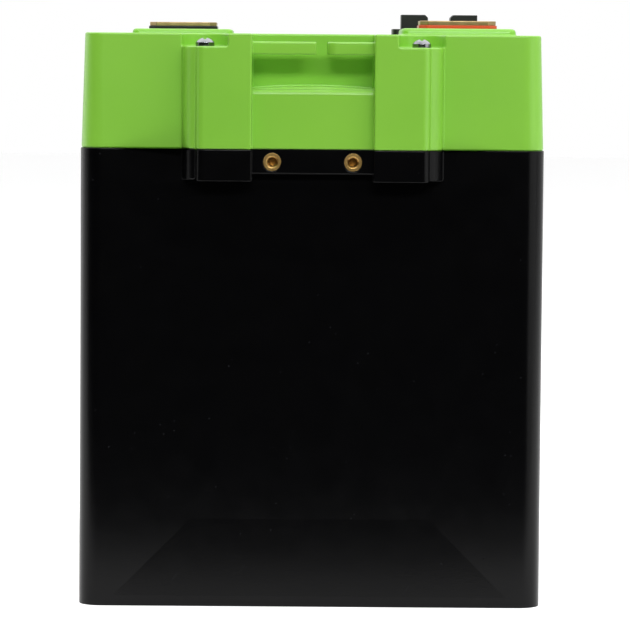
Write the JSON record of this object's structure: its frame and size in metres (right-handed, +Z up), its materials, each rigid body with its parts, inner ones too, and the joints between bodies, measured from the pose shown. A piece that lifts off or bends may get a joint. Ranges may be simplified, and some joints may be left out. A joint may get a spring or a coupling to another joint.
{
  "type": "lithium battery pack",
  "caption": "Upright rectangular lithium battery pack with a moulded case, screwed-down lid, strap pockets at both ends, square screw terminals and a capped data port.",
  "frame": {"origin": "on the ground under the middle of the case", "axes": "+X across the pack towards the positive terminal's side, -Y out of the end next to the positive terminal, +Z up"},
  "size_m": [0.173, 0.306, 0.2231],
  "materials": {
    "case_black": "fine-textured satin black moulding",
    "lid_green": "satin lime-green moulding",
    "seal_rubber": "soft seal rubber",
    "zinc_steel": "bright zinc plate",
    "brass": "machined brass with light tarnish",
    "collar_red": "glossy red",
    "collar_black": "glossy black",
    "port_black": "satin black",
    "cap_black": "satin black",
    "foam_grey": "closed-cell foam",
    "cell_blue": "aluminium can in blue wrap film",
    "sheet_yellow": "glass-fibre insulating sheet",
    "plate_aluminium": "milled aluminium",
    "copper": "bare copper bar",
    "tray_white": "natural nylon",
    "board_green": "circuit board laminate",
    "chip_black": "moulded semiconductor package",
    "wire_red": "insulated wire",
    "wire_black": "sleeved wires"
  },
  "bodies": {
    "pack": {"case": "case_black", "lid": "lid_green", "lid_gasket": "seal_rubber", "lid_screws": "zinc_steel", "front_inserts": "brass", "rear_inserts": "brass", "positive_terminal": "brass", "negative_terminal": "brass", "positive_collar": "collar_red", "negative_collar": "collar_black", "terminal_o_rings": "seal_rubber", "terminal_washers": "zinc_steel", "terminal_nuts": "brass", "comms_base": "port_black", "comms_gasket": "seal_rubber", "comms_contacts": "brass", "comms_screws": "zinc_steel", "base_pad": "foam_grey", "cell_1": "cell_blue", "cell_2": "cell_blue", "cell_3": "cell_blue", "cell_4": "cell_blue", "cell_sheets": "sheet_yellow", "front_end_plate": "plate_aluminium", "rear_end_plate": "plate_aluminium", "compression_bands": "zinc_steel", "front_foam": "foam_grey", "rear_foam": "foam_grey", "cell_link_1": "copper", "cell_link_2": "copper", "cell_link_3": "copper", "pole_nuts": "zinc_steel", "positive_bar": "copper", "negative_bar": "copper", "board_bar": "copper", "bar_bolts": "zinc_steel", "bms_tray": "tray_white", "bms_board": "board_green", "board_screws": "zinc_steel", "bms_transistors": "chip_black", "bms_heat_sink": "plate_aluminium", "bms_connectors": "tray_white", "sense_harness": "wire_red", "comms_harness": "wire_black"},
    "dust_cap_1": {"comms_cap_1": "cap_black"},
    "dust_cap_2": {"comms_cap_2": "cap_black"}
  },
  "joints": [
    {"name": "dust_cap_1_pull", "type": "slide", "parent": "pack", "child": "dust_cap_1", "axis": [0, 0, 1], "range_m": [0, 0.012]},
    {"name": "dust_cap_2_pull", "type": "slide", "parent": "pack", "child": "dust_cap_2", "axis": [0, 0, 1], "range_m": [0, 0.012]}
  ]
}
